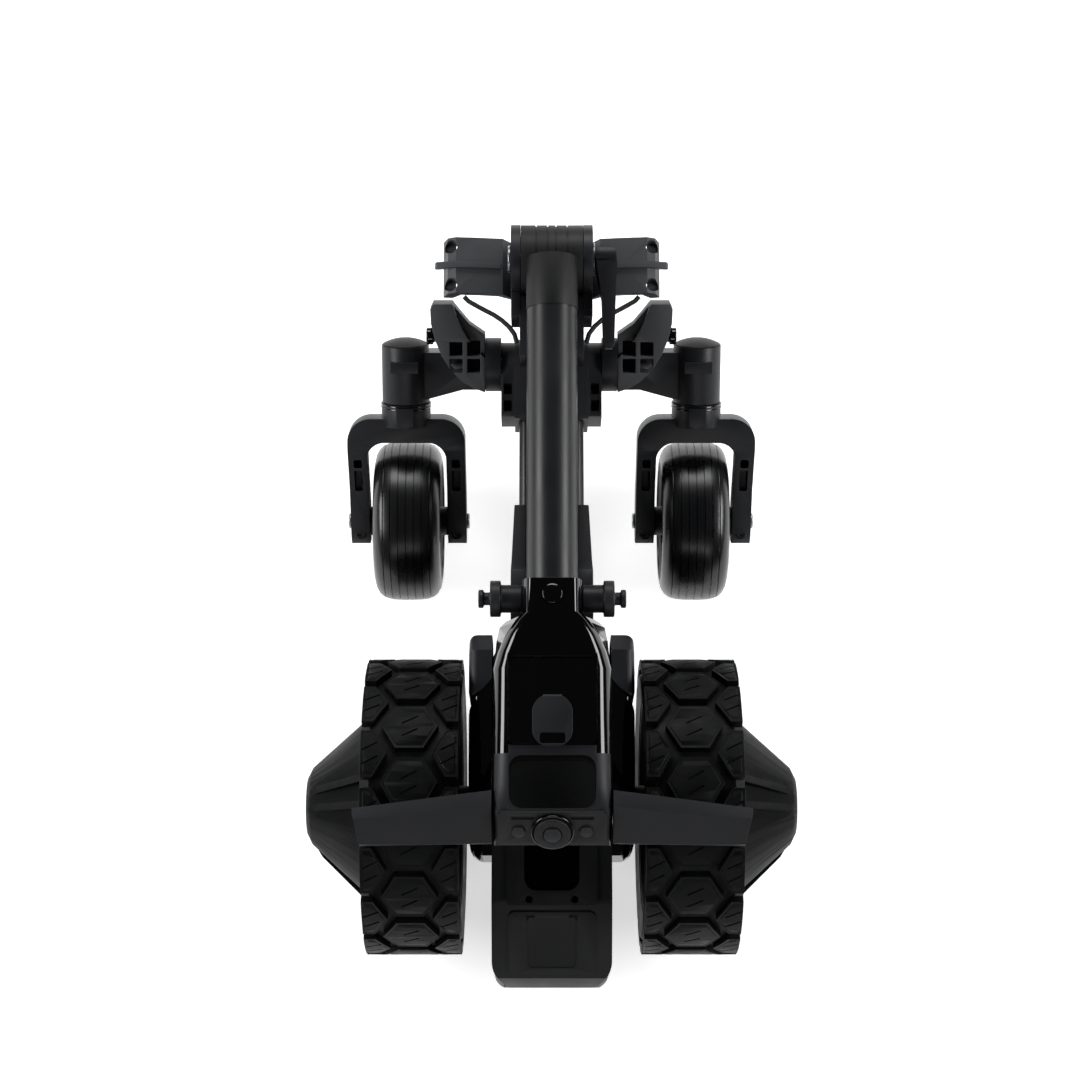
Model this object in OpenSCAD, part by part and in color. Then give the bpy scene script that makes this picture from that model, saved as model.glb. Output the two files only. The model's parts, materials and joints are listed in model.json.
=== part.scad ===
// Electric golf trolley, folded: drive unit, castor front, mast and handle.

/* [Drive wheels] */
// Diameter of each drive tyre over its tread blocks
drive_tyre_diameter = 290; // [270:5:310]
// Width of each drive tyre
drive_tyre_width = 94; // [86:2:106]
// Distance from the centre plane to the inner face of a drive tyre
drive_tyre_inset = 87; // [83:1:94]
// Height of the tread blocks
tread_depth = 7; // [4:1:9]
// How far the hub dish stands out past the tyre
hub_dish_height = 59.5; // [48:0.5:64]
// Diameter of the drive shafts
drive_shaft_diameter = 16; // [12:1:20]

/* [Front castors] */
// Diameter of each castor wheel
castor_diameter = 166; // [150:2:180]
// Width of each castor tyre
castor_width = 69; // [56:1:76]
// Distance from the centre plane to each castor swivel axis
castor_spacing = 148; // [140:1:165]
// Distance from drive axle to castor axle, measured along the floor
folded_wheelbase = 310; // [290:5:380]
// Diameter of the castor stem
castor_stem_diameter = 18; // [14:1:20]

/* [Frame] */
// Width of the lower frame tube
frame_tube_width = 64; // [56:1:66]
// Height of the lower frame tube
frame_tube_height = 40; // [32:1:42]
// Diameter of the mast tube
mast_diameter = 46; // [38:1:52]
// Diameter of the handle tube
handle_diameter = 48; // [40:1:52]
// Diameter of the hinge drum between mast and handle
drum_diameter = 66; // [60:1:76]
// Diameter of the hinge pins and axles of the frame
hinge_pin_diameter = 12; // [8:1:14]
// Half width of the upper bag cradle
upper_cradle_reach = 107; // [96:1:116]

/* [Handle head] */
// Distance from the centre plane to the end of a grip
grip_reach = 184; // [150:2:215]
// Diameter of the control dial
dial_diameter = 34; // [28:1:38]
// Diameter of the two panel buttons
button_diameter = 12; // [9:1:14]
// Diameter of the accessory posts
post_diameter = 26; // [20:1:26]

/* [Hidden] */
$fn = 64;
drive_radius = drive_tyre_diameter / 2;
castor_radius = castor_diameter / 2;
mast_radius = mast_diameter / 2;
handle_radius = handle_diameter / 2;
drum_radius = drum_diameter / 2;
pin_radius = hinge_pin_diameter / 2;
running_gap = 0.05;
free_gap = 0.3;
tube_wall = 2.5;

// Places in the side plane, as [forward, up]
axle_y = -182.7;
axle_z = drive_radius;
fold_tilt = 60;
castor_trail = 32;
front_y = axle_y + folded_wheelbase - castor_trail * cos(fold_tilt);
front_z = castor_radius + castor_trail * sin(fold_tilt);
pin_back = 19;
pin_up = 176;
pin_y = front_y - pin_back * cos(fold_tilt) + pin_up * sin(fold_tilt);
pin_z = front_z + pin_back * sin(fold_tilt) + pin_up * cos(fold_tilt);
foot_y = axle_y + 185;
foot_z = axle_z + 117;
mast_drop = mast_radius + 3;
handle_rise = handle_radius + 2;
drum_y = pin_y + 68;
drum_z = pin_z + 115 + (drum_radius - 33) + (mast_radius - 23);
drum_reach = sqrt(pow(drum_y - foot_y, 2) + pow(drum_z - foot_z, 2));
mast_tilt = atan2(drum_z - foot_z, drum_y - foot_y) - asin(mast_drop / drum_reach);
mast_length = sqrt(drum_reach * drum_reach - mast_drop * mast_drop);
head_y = axle_y - 44;
head_z = axle_z + 147;
head_tilt = atan2(drum_z - head_z, drum_y - head_y);
head_reach = sqrt(pow(drum_y - head_y, 2) + pow(drum_z - head_z, 2));

// Drive unit
shell_half = 58;
cover_outer = 80.5;
bay_half = 52;
motor_radius = 28;
gearbox_radius = 48;
gearbox_outer = 73;
well_half = 27;
cover_wall = 4;
socket_radius = 3.6;
socket_spread = 22;
socket_back = -98.5;
socket_floor = 30;
shaft_radius = drive_shaft_diameter / 2;
shaft_inner = 62;
shaft_outer = 118;

// Drive wheels
rim_radius = 104;
rim_wall = 5;
tyre_inner = drive_tyre_inset;
tyre_outer = drive_tyre_inset + drive_tyre_width;
dish_top = tyre_outer + hub_dish_height;
spokes = 3;
ridge_spread = 5;
ridge_width = 7;
webs = 5;
tread_rows = 16;
block_radius = 0.186 * drive_radius;
carcass_radius = drive_radius - tread_depth;

// Front yoke and beam
lug_outer = 50;
ear_inner = 50.5;
ear_outer = 66;
ear_radius = 27;
yoke_radius = 25;
beam_low = 149;
beam_high = 187;
beam_half = 14;
lattice_width = 13;
lattice_height = 14;
housing_radius = 24;
housing_low = 135;
housing_high = 193;
stem_radius = castor_stem_diameter / 2;
cap_sphere = 48;

// Castor forks
leg_inner = castor_width / 2 + 6;
leg_outer = leg_inner + 19.5;
arch_z = castor_radius + 10.5;
crown_z = arch_z + 25;
castor_axle_radius = 5;
castor_rim = 0.7 * castor_radius;

// Mast head and cradle
disc_inner = 30.4;
disc_outer = 39.5;
head_block = mast_length - 95;
cam_radius = 10;
cam_offset = 12.6;
cradle_back = mast_length - 26;
cradle_front = mast_length + 30;
saddle_z = -mast_radius - 3;

// Handle head
shell_side = 56;
neck_half = 28;
neck_y = 228;
post_y = 212.5;
lid_hinge_y = 152;
latch_hinge_y = 117;
dial_radius = dial_diameter / 2;
button_radius = button_diameter / 2;

// Lower frame tube, from its socket in the neck to its socket in the yoke
tube_y = axle_y + 254;
tube_z = axle_z + 60;
tube_run_y = pin_y - 32 - tube_y;
tube_run_z = pin_z - 2 - tube_z;
tube_slope = atan2(tube_run_z, tube_run_y);
tube_length = sqrt(tube_run_y * tube_run_y + tube_run_z * tube_run_z);

// Right half of the upper cradle's front outline; the left half mirrors it
cradle_half = [[41, saddle_z - 8], [52, -21], [70, -16.5], [upper_cradle_reach - 18, -14],
    [upper_cradle_reach - 9, -28], [upper_cradle_reach, -26],
    [upper_cradle_reach - 5, -9], [upper_cradle_reach - 13, -4], [70, -7], [48, -11],
    [40.5, saddle_z]];
rib_reach = upper_cradle_reach + 8;

// Route of the left bungee cord: a bight from the cradle edge to the mast side
cord_radius = 2.4;
cord_sides = 8;
cord_route = [[86, mast_length - 28.8, -9], [82, mast_length - 33, -10],
    [75, mast_length - 37, -10.5], [66, mast_length - 42, -10.5],
    [57, mast_length - 47, -9], [49, mast_length - 53, -6.5],
    [42, mast_length - 60, -3.5], [36.5, mast_length - 68, -1],
    [33.9, mast_length - 77, 0]];

// A cylinder lying across the trolley from x0 to x1
module cross_cylinder(r, x0, x1)
    translate([x0, 0, 0])
        rotate([0, 90, 0])
            cylinder(r = r, h = x1 - x0);

// A side outline drawn as [forward, up], given width from x0 to x1
module side_slab(x0, x1)
    translate([x0, 0, 0])
        rotate([90, 0, 90])
            linear_extrude(x1 - x0)
                children();

// A front outline drawn as [across, up], given depth from y0 to y1
module front_slab(y0, y1)
    translate([0, y1, 0])
        rotate([90, 0, 0])
            linear_extrude(y1 - y0)
                children();

module block(x0, x1, y0, y1, z0, z1)
    translate([x0, y0, z0])
        cube([x1 - x0, y1 - y0, z1 - z0]);

module round_rect(x, y, r) {
    square([x - 2 * r, y], center = true);
    square([x, y - 2 * r], center = true);
    for (sx = [-1, 1], sy = [-1, 1])
        translate([sx * (x / 2 - r), sy * (y / 2 - r)])
            circle(r = r);
}

module at_axle()
    translate([0, axle_y, axle_z])
        children();

module at_pin()
    translate([0, pin_y, pin_z])
        children();

// Front frame: up is along the castor stems
module at_front()
    translate([0, front_y, front_z])
        rotate([-fold_tilt, 0, 0])
            children();

module at_castor(side)
    at_front()
        translate([side * castor_spacing, 0, 0])
            children();

// Mast frame: forward is along the mast
module at_mast()
    translate([0, foot_y, foot_z])
        rotate([mast_tilt, 0, 0])
            children();

module at_drum()
    translate([0, drum_y, drum_z])
        rotate([head_tilt, 0, 0])
            children();

module at_head()
    translate([0, head_y, head_z])
        rotate([head_tilt, 0, 0])
            children();

// Console frame: up is straight out of the sloped control panel
module at_console()
    at_head()
        translate([0, 1, 23])
            rotate([45, 0, 0])
                children();

module mirrored(side)
    mirror([side < 0 ? 1 : 0, 0, 0])
        children();

// ---- Drive unit ----
module shell_side_outline()
    polygon([[-160, -57], [-174, -40], [-177, -5], [-170, 20], [-104, 50],
        [-98, 53], [60, 53], [110, 74], [150, 74], [150, -20], [132, -57]]);

module chassis_shell()
    color("#08080a") at_axle() difference() {
        intersection() {
            side_slab(-shell_half, shell_half)
                shell_side_outline();
            translate([0, -13.5, -80])
                linear_extrude(200)
                    round_rect(2 * shell_half, 327, 22);
        }
        // Battery bay and controller bay, both open below
        block(-bay_half, bay_half, -150, -34, -60, -6);
        block(-bay_half, bay_half, 40, 126, -60, -12);
        // Cable way between the bays
        block(-12, 12, -40, 50, -60, -40);
        // Storage well under the tail panel
        translate([0, -66, 2])
            linear_extrude(80)
                round_rect(2 * well_half, 62, 12);
        cross_cylinder(motor_radius + free_gap, -shell_half - 1, shell_half + 1);
        // Screw holes for the belly cover
        for (sx = [-1, 1], y = [-20, 34])
            translate([sx * 48, y, -58])
                cylinder(r = 2.2, h = 12);
        tail_sockets();
    }

// Holes through the tail panel into the shell, for plug-in fittings
module tail_sockets()
    for (s = [-1, 1])
        translate([s * socket_spread, socket_back, socket_floor])
            cylinder(r = socket_radius, h = 30);

module belly_cover()
    color("#1c1d20") at_axle() difference() {
        translate([0, -12, -60])
            linear_extrude(3)
                round_rect(108, 284, 12);
        for (sx = [-1, 1], y = [-20, 34])
            translate([sx * 48, y, -61])
                cylinder(r = 2.2, h = 6);
    }

module cover_screws()
    color("#303236") at_axle() {
        for (sx = [-1, 1], y = [-20, 34])
            translate([sx * 48, y, -62]) {
                cylinder(r = 4, h = 2);
                cylinder(r = 2, h = 13);
            }
    }

module battery_pack()
    color("#2b3038") at_axle()
        translate([0, -92, -57])
            linear_extrude(48)
                round_rect(98, 110, 6);

module controller_board()
    color("#1f4a34") at_axle() {
        block(-44, 44, 46, 120, -57, -54);
        block(-30, 30, 56, 96, -54, -36);
        block(-36, -22, 100, 114, -54, -44);
        block(22, 36, 100, 114, -54, -44);
    }

module tail_panel()
    color("#1c1d20") at_axle() difference() {
        translate([0, -68, 53])
            linear_extrude(3)
                round_rect(88, 72, 6);
        translate([0, -52, 50])
            linear_extrude(10)
                round_rect(2 * well_half - 1, 76, 12);
        tail_sockets();
    }

module tail_cover()
    color("#1c1d20") at_axle()
        translate([0, -137, 35])
            rotate([atan2(30, 66), 0, 0])
                difference() {
                    translate([0, 0, 0.02])
                        linear_extrude(2.5)
                            round_rect(84, 62, 6);
                    translate([0, 0, 1])
                        linear_extrude(5)
                            round_rect(48, 50, 5);
                }

module gear_cover_outline()
    polygon([[-53, -20], [-53, 30], [-20, 66], [30, 84], [140, 84], [158, 68],
        [160, 20], [120, -30], [60, -64], [-20, -64]]);

module gear_cover_cavity()
    polygon([[-49, -20], [-49, 28], [-18, 62], [31, 79], [138, 79], [154, 66],
        [155, 22], [117, -26], [58, -60], [-18, -60]]);

module gear_cover(side)
    color("#1c1d20") at_axle() mirrored(side) difference() {
        side_slab(shell_half, cover_outer)
            gear_cover_outline();
        side_slab(shell_half - 1, cover_outer - cover_wall)
            gear_cover_cavity();
        cross_cylinder(shaft_radius + 1, shell_half, cover_outer + 1);
    }

module gear_cover_left()
    gear_cover(-1);

module gear_cover_right()
    gear_cover(1);

module gearmotor(side)
    color("#8b8f94") at_axle() mirrored(side) difference() {
        union() {
            cross_cylinder(motor_radius, 6, shell_half + 1);
            cross_cylinder(gearbox_radius, shell_half + free_gap, gearbox_outer);
            cross_cylinder(shaft_radius + 8, gearbox_outer - 1, cover_outer - cover_wall);
        }
        cross_cylinder(shaft_radius + running_gap, shaft_inner - 1, cover_outer);
    }

module gearmotor_left()
    gearmotor(-1);

module gearmotor_right()
    gearmotor(1);

module neck_housing()
    color("#1c1d20") difference() {
        at_axle() intersection() {
            side_slab(-40, 40)
                polygon([[150, -15], [150, 122], [163, 136], [185, 140],
                    [207, 136], [222, 120], [284, 92], [284, 30], [232, -2]]);
            translate([0, 0, -40])
                linear_extrude(200)
                    polygon([[-39.5, 149], [39.5, 149], [39.5, 205], [36.5, 285],
                        [-36.5, 285], [-39.5, 205]]);
        }
        // Slot that the mast foot turns in
        at_axle()
            block(-mast_radius - 1.6, mast_radius + 1.6, 149, 290,
                117 - mast_radius - 4, 160);
        translate([0, foot_y, foot_z])
            cross_cylinder(pin_radius + running_gap, -45, 45);
        frame_tube_line(frame_tube_width + 0.3, frame_tube_height + 0.3);
    }

module mast_pin()
    color("#b9bcc0") translate([0, foot_y, foot_z]) {
        cross_cylinder(pin_radius, -39.7, 39.7);
        cross_cylinder(pin_radius + 3, 39.7, 42.7);
        cross_cylinder(pin_radius + 3, -42.7, -39.7);
    }

module frame_tube_line(width, height)
    translate([0, tube_y, tube_z])
        rotate([tube_slope, 0, 0])
            front_slab(0, tube_length)
                round_rect(width, height, 8);

module lower_frame_tube()
    color("#2b2b2e") difference() {
        frame_tube_line(frame_tube_width, frame_tube_height);
        translate([0, tube_y, tube_z])
            rotate([tube_slope, 0, 0])
                front_slab(-1, tube_length + 1)
                    round_rect(frame_tube_width - 6, frame_tube_height - 6, 5);
    }

module front_yoke()
    color("#1c1d20") difference() {
        at_pin() {
            side_slab(-36.5, 36.5)
                polygon([[-64, -24], [-64, 22], [-60, 25], [0, yoke_radius],
                    [0, -yoke_radius], [-60, -yoke_radius]]);
            cross_cylinder(yoke_radius, -36.5, 36.5);
            side_slab(-lug_outer, lug_outer)
                polygon([[-60, -18], [-60, 16], [0, 22], [0, -22]]);
            cross_cylinder(22, -lug_outer, lug_outer);
        }
        // Open pockets in the lugs
        at_pin()
            for (sx = [-1, 1], y = [-55, -38])
                translate([sx * 43.5, y + 6, 30])
                    cube([8, 11, 60], center = true);
        at_pin()
            cross_cylinder(pin_radius + running_gap, -60, 60);
        frame_tube_line(frame_tube_width + 0.3, frame_tube_height + 0.3);
    }

module front_pin()
    color("#b9bcc0") at_pin() {
        cross_cylinder(pin_radius, -ear_outer, ear_outer);
    }

// ---- Drive wheels ----
module about_axle(side)
    at_axle() mirrored(side)
        rotate([0, 90, 0])
            children();

// One raised block of the tread, a hexagon or part of one
module tread_block(turn, x)
    rotate([0, 0, turn])
        translate([carcass_radius - 3, 0, x])
            rotate([0, 90, 0])
                cylinder(r = block_radius, h = tread_depth + 8, $fn = 6);

module tyre(side)
    color("#15171a") about_axle(side) {
        rotate_extrude($fn = 96)
            polygon([[rim_radius + free_gap, tyre_inner + 3],
                [carcass_radius - 10, tyre_inner],
                [carcass_radius, tyre_inner + 9],
                [carcass_radius, tyre_outer - 9],
                [carcass_radius - 10, tyre_outer],
                [rim_radius + free_gap, tyre_outer - 3]]);
        intersection() {
            union() {
                for (i = [0 : tread_rows - 1]) {
                    tread_block(i * 360 / tread_rows, (tyre_inner + tyre_outer) / 2);
                    tread_block((i + 0.5) * 360 / tread_rows, tyre_inner - 1);
                    tread_block((i + 0.5) * 360 / tread_rows, tyre_outer + 1);
                }
            }
            translate([0, 0, tyre_inner + 1])
                cylinder(r = drive_radius, h = drive_tyre_width - 2, $fn = 96);
        }
    }

module drive_tyre_left()
    tyre(-1);

module drive_tyre_right()
    tyre(1);

// Side outline of one spoke ridge, as [radius, out]
module ridge_outline()
    polygon([[18, dish_top - 1], [27, dish_top - 1], [50, dish_top - 14],
        [97, tyre_outer + 0.9], [97, tyre_outer - 2], [84, tyre_outer - 2],
        [36, dish_top - 8], [18, dish_top - 5]]);

module hub(side)
    color("#1b1c1f") about_axle(side) difference() {
        union() {
            rotate_extrude($fn = 96)
                polygon([[rim_radius - rim_wall, tyre_inner + 4],
                    [rim_radius, tyre_inner + 4],
                    [rim_radius, tyre_outer - 4],
                    [98, tyre_outer + 1],
                    [86, tyre_outer + 1],
                    [38, dish_top - 5],
                    [28, dish_top],
                    [0, dish_top],
                    [0, dish_top - 6],
                    [25, dish_top - 6],
                    [33, dish_top - 12],
                    [78, tyre_outer - 5],
                    [rim_radius - rim_wall, tyre_outer - 12]]);
            // Inner web and boss on the shaft
            translate([0, 0, tyre_inner + 14])
                cylinder(r = rim_radius - 1, h = 6);
            translate([0, 0, cover_outer + 2])
                cylinder(r = 20, h = shaft_outer - cover_outer);
            // Twin ridges of each spoke, spreading towards the rim
            for (i = [0 : spokes - 1], s = [-1, 1])
                rotate([0, 0, 180 + i * 360 / spokes + s * ridge_spread])
                    translate([0, s * 4.5 + ridge_width / 2, 0])
                        rotate([90, 0, 0])
                            linear_extrude(ridge_width)
                                ridge_outline();
        }
        // Lightening holes in the inner web
        for (i = [0 : webs - 1])
            rotate([0, 0, i * 360 / webs])
                translate([60, 0, tyre_inner + 13])
                    cylinder(r = 15, h = 8);
        translate([0, 0, cover_outer])
            cylinder(r = shaft_radius + 0.02, h = shaft_outer - cover_outer + 0.1);
    }

module drive_hub_left()
    hub(-1);

module drive_hub_right()
    hub(1);

module drive_shaft(side)
    color("#b9bcc0") at_axle() mirrored(side)
        cross_cylinder(shaft_radius, shaft_inner, shaft_outer);

module drive_shaft_left()
    drive_shaft(-1);

module drive_shaft_right()
    drive_shaft(1);

// ---- Front beam and lower cradle ----
module front_beam()
    color("#1c1d20") at_front() difference() {
        union() {
            for (s = [-1, 1]) mirrored(s) {
                translate([0, -pin_back, pin_up])
                    cross_cylinder(ear_radius, ear_inner, ear_outer);
                block(ear_inner, castor_spacing - 8, -beam_half, beam_half,
                    beam_low, beam_high);
                block(ear_inner, ear_outer, -10, 27, 156, 190);
                translate([castor_spacing, 0, housing_low])
                    cylinder(r = housing_radius, h = housing_high - housing_low);
                // Raised pad on the back of the housing
                block(castor_spacing - 14, castor_spacing + 14, -housing_radius - 2, -12,
                    168, 179);
                // Fillet from beam to housing
                front_slab(-beam_half, beam_half)
                    polygon([[castor_spacing - 62, beam_low + 1],
                        [castor_spacing - 22, housing_low + 4],
                        [castor_spacing, housing_low + 4],
                        [castor_spacing, beam_high], [castor_spacing - 60, beam_high]]);
            }
            block(-ear_outer, ear_outer, 13, 27, 160, 188);
        }
        for (s = [-1, 1])
            translate([s * castor_spacing, 0, housing_low - 1])
                cylinder(r = stem_radius + running_gap, h = housing_high - housing_low + 2);
        translate([0, -pin_back, pin_up])
            cross_cylinder(pin_radius + running_gap, -ear_outer - free_gap,
                ear_outer + free_gap);
    }

module castor_caps()
    color("#1c1d20") at_front()
        for (s = [-1, 1])
            translate([s * castor_spacing, 0, housing_high])
                intersection() {
                    cylinder(r = housing_radius - 1, h = 8);
                    translate([0, 0, 7 - cap_sphere])
                        sphere(r = cap_sphere);
                }

module lower_arm(side)
    color("#3a3b3e") at_front() mirrored(side) difference() {
        front_slab(-42, -beam_half)
            polygon([[66.3, 152], [78, 156], [90, 163.5], [101, 175], [110, 190],
                [116.5, 206], [120, 222], [120.5, 236], [118, 241],
                [99, 241], [92, 232], [82, 220], [66.3, 209]]);
        // Windows of the lattice, closed at the back
        for (x = [71, 88.5], z = [172, 189])
            translate([x, -43, z])
                cube([lattice_width, 24, lattice_height]);
        // Hollow of the cup that the bag rests in
        translate([0, -44, 262])
            rotate([-90, 0, 0])
                cylinder(r = 100, h = 10, $fn = 96);
        // Flat for the strap knob
        block(110.5, 125, -38, -20, 196, 218);
    }

module lower_cradle_left()
    lower_arm(-1);

module lower_cradle_right()
    lower_arm(1);

module strap_knobs()
    color("#0b0c0d") at_front()
        for (s = [-1, 1]) mirrored(s)
            translate([0, -29, 207]) {
                cross_cylinder(6, 110.5, 118);
                cross_cylinder(8.5, 118, 125);
            }

module cradle_bumpers()
    color("#0b0c0d") at_front()
        for (s = [-1, 1])
            translate([s * 80, -beam_half, 200])
                rotate([-90, 0, 0]) {
                    cylinder(r = 11, h = 8);
                    cylinder(r = 8, h = 12);
                }

// ---- Castors ----
// Front view of a fork: legs, arch and rounded shoulders
module fork_front_outline()
    difference() {
        translate([0, crown_z / 2 - 30])
            round_rect(2 * leg_outer, crown_z + 60, 24);
        translate([0, arch_z / 2 - 40])
            round_rect(2 * leg_inner, arch_z + 80, 18);
    }

// Side view of a fork: crown above, legs trailing to the axle
module fork_side_outline()
    polygon([[-13, crown_z + 1], [13, crown_z + 1], [15, arch_z - 6], [24, 62], [45, 16],
        [45, -12], [38, -22], [24, -22], [17, -12], [8, 40], [-13, arch_z - 8]]);

module castor_fork(side)
    color("#15161a") at_castor(side) difference() {
        union() {
            intersection() {
                front_slab(-20, 50)
                    fork_front_outline();
                side_slab(-leg_outer - 1, leg_outer + 1)
                    fork_side_outline();
            }
            translate([0, 0, crown_z - 8])
                cylinder(r = 25, h = housing_low - 1.3 - crown_z + 8);
            translate([0, 0, housing_low - 4])
                cylinder(r = stem_radius, h = housing_high - housing_low + 1);
            block(-8.5, 8.5, -28, -5, crown_z - 5, housing_low - 3);
        }
        translate([0, castor_trail, 0])
            cross_cylinder(castor_axle_radius + running_gap, -leg_outer - 1, leg_outer + 1);
    }

module castor_fork_left()
    castor_fork(-1);

module castor_fork_right()
    castor_fork(1);

module castor_axle(side)
    color("#b9bcc0") at_castor(side) translate([0, castor_trail, 0]) {
        cross_cylinder(castor_axle_radius, -leg_outer, leg_outer);
        cross_cylinder(8, leg_outer, leg_outer + 3);
        cross_cylinder(8, -leg_outer - 3, -leg_outer);
    }

module castor_axle_left()
    castor_axle(-1);

module castor_axle_right()
    castor_axle(1);

module about_castor(side)
    at_castor(side)
        translate([0, castor_trail, 0])
            rotate([0, 90, 0])
                children();

module castor_tyre(side)
    color("#0c0d0f") about_castor(side) difference() {
        rotate_extrude($fn = 96)
            polygon([[castor_rim + free_gap, -castor_width / 2 + 5],
                [castor_radius - 18, -castor_width / 2],
                [castor_radius - 7, -castor_width / 2 + 4],
                [castor_radius - 2, -castor_width / 2 + 10],
                [castor_radius, -18], [castor_radius, 18],
                [castor_radius - 2, castor_width / 2 - 10],
                [castor_radius - 7, castor_width / 2 - 4],
                [castor_radius - 18, castor_width / 2],
                [castor_rim + free_gap, castor_width / 2 - 5]]);
        for (x = [-21, -12, -4, 4, 12, 21])
            rotate_extrude($fn = 96)
                translate([castor_radius - 1.6, x - 0.7])
                    square([4, 1.4]);
    }

module castor_tyre_left()
    castor_tyre(-1);

module castor_tyre_right()
    castor_tyre(1);

module castor_hub(side)
    color("#1b1c1f") about_castor(side) difference() {
        union() {
            rotate_extrude($fn = 96)
                polygon([[castor_rim - 8, -castor_width / 2 + 7],
                    [castor_rim, -castor_width / 2 + 7],
                    [castor_rim, castor_width / 2 - 7],
                    [castor_rim - 8, castor_width / 2 - 7],
                    [castor_rim - 12, 6], [14, 6], [14, 0], [14, -6], [castor_rim - 12, -6]]);
            cylinder(r = 15, h = 2 * leg_inner - 2 * free_gap, center = true);
        }
        cylinder(r = castor_axle_radius + running_gap, h = 200, center = true);
    }

module castor_hub_left()
    castor_hub(-1);

module castor_hub_right()
    castor_hub(1);

// ---- Mast ----
module along_mast(y0, y1, r)
    translate([0, y1, 0])
        rotate([90, 0, 0])
            cylinder(r = r, h = y1 - y0);

module mast_foot()
    color("#1c1d20") at_mast() difference() {
        union() {
            cross_cylinder(mast_radius + 1, -mast_radius - 1.2, mast_radius + 1.2);
            along_mast(0, mast_radius + 8, mast_radius);
            along_mast(0, mast_radius + 38, mast_radius - tube_wall - 0.1);
        }
        cross_cylinder(pin_radius + running_gap, -40, 40);
    }

module mast_tube()
    color("#2b2b2e") at_mast() difference() {
        along_mast(mast_radius + 8, mast_length - 57, mast_radius);
        along_mast(mast_radius + 7, mast_length - 50, mast_radius - tube_wall);
    }

module mast_head()
    color("#0f1012") at_mast() difference() {
        union() {
            block(-31, 31, head_block, mast_length - 36, saddle_z, mast_radius + 2.4);
            block(-disc_outer, disc_outer, mast_length - 56,
                mast_length - drum_radius - 3.5, saddle_z, mast_radius + 2.4);
            block(-disc_outer, disc_outer, mast_length - 50, mast_length,
                saddle_z, mast_drop - drum_radius - 1);
            for (s = [-1, 1]) mirrored(s) {
                translate([0, mast_length, mast_drop])
                    cross_cylinder(drum_radius, disc_inner, disc_outer);
                block(disc_inner, disc_outer, mast_length - 50, mast_length,
                    saddle_z, mast_drop);
            }
        }
        along_mast(head_block - 1, mast_length - 56, mast_radius + 0.1);
        translate([0, mast_length, mast_drop])
            cross_cylinder(pin_radius + running_gap, -60, 60);
    }

module cradle_outline()
    polygon(concat(cradle_half,
        [for (i = [len(cradle_half) - 1 : -1 : 0]) [-cradle_half[i][0], cradle_half[i][1]]]));

module upper_cradle()
    color("#2b2c2f") at_mast() difference() {
        union() {
            front_slab(cradle_back, cradle_front)
                cradle_outline();
            // Raised rib along the middle, standing out past both ends
            for (s = [-1, 1]) mirrored(s)
                front_slab(mast_length - 1, mast_length + 5)
                    polygon([[50, -13], [72, -9], [upper_cradle_reach - 14, -8],
                        [rib_reach - 2, -13], [rib_reach, -11], [rib_reach - 2, -5],
                        [upper_cradle_reach - 12, -1], [72, -3], [50, -7]]);
        }
        // Round recesses at the corners
        for (s = [-1, 1], y = [mast_length - 17, mast_length + 21])
            translate([s * (upper_cradle_reach - 8), y, -22])
                cylinder(r = 6.5, h = 24);
    }

function unit(v) = v / norm(v);

function cord_heading(i) = unit(cord_route[min(i + 1, len(cord_route) - 1)]
    - cord_route[max(i - 1, 0)]);

function cord_ring(i) =
    let (t = cord_heading(i), u = unit(cross(t, [0, 0, 1])), w = cross(u, t))
    [for (k = [0 : cord_sides - 1])
        cord_route[i] + cord_radius * (cos(k * 360 / cord_sides) * u
            + sin(k * 360 / cord_sides) * w)];

module cord_strand() {
    rings = len(cord_route);
    polyhedron(
        points = [for (i = [0 : rings - 1]) for (p = cord_ring(i)) p],
        faces = concat(
            [[for (k = [0 : cord_sides - 1]) k]],
            [for (i = [0 : rings - 2]) for (k = [0 : cord_sides - 1])
                [i * cord_sides + k, (i + 1) * cord_sides + k,
                (i + 1) * cord_sides + (k + 1) % cord_sides,
                i * cord_sides + (k + 1) % cord_sides]],
            [[for (k = [cord_sides - 1 : -1 : 0]) (rings - 1) * cord_sides + k]]));
}

module bungee_cords()
    color("#0c0c0d") at_mast() {
        cord_strand();
        mirror([1, 0, 0])
            cord_strand();
    }

module hinge_bolt()
    color("#b9bcc0") at_drum() {
        cross_cylinder(pin_radius, -disc_outer - free_gap, disc_outer + free_gap);
        cross_cylinder(16, disc_outer + free_gap, disc_outer + 2.2);
        cross_cylinder(13, -disc_outer - 3, -disc_outer - free_gap);
    }

module cam_lever()
    color("#15161a") at_drum()
        translate([disc_outer + cam_offset, 0, 0])
            intersection() {
                translate([0, 0, -18])
                    linear_extrude(36)
                        union() {
                            circle(r = cam_radius);
                            polygon([[0, cam_radius], [6, 8], [9.6, 3], [11, -10],
                                [10, -28], [8, -84], [6, -90], [-1, -90], [-3, -84],
                                [-4, -40], [-8.5, -14], [-cam_radius, 0]]);
                        }
                side_slab(-14, 14)
                    union() {
                        circle(r = 18);
                        polygon([[0, -18], [0, 18], [-18, 15], [-40, 9], [-86, 7],
                            [-92, 0], [-86, -7], [-40, -9], [-18, -15]]);
                    }
            }

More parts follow.
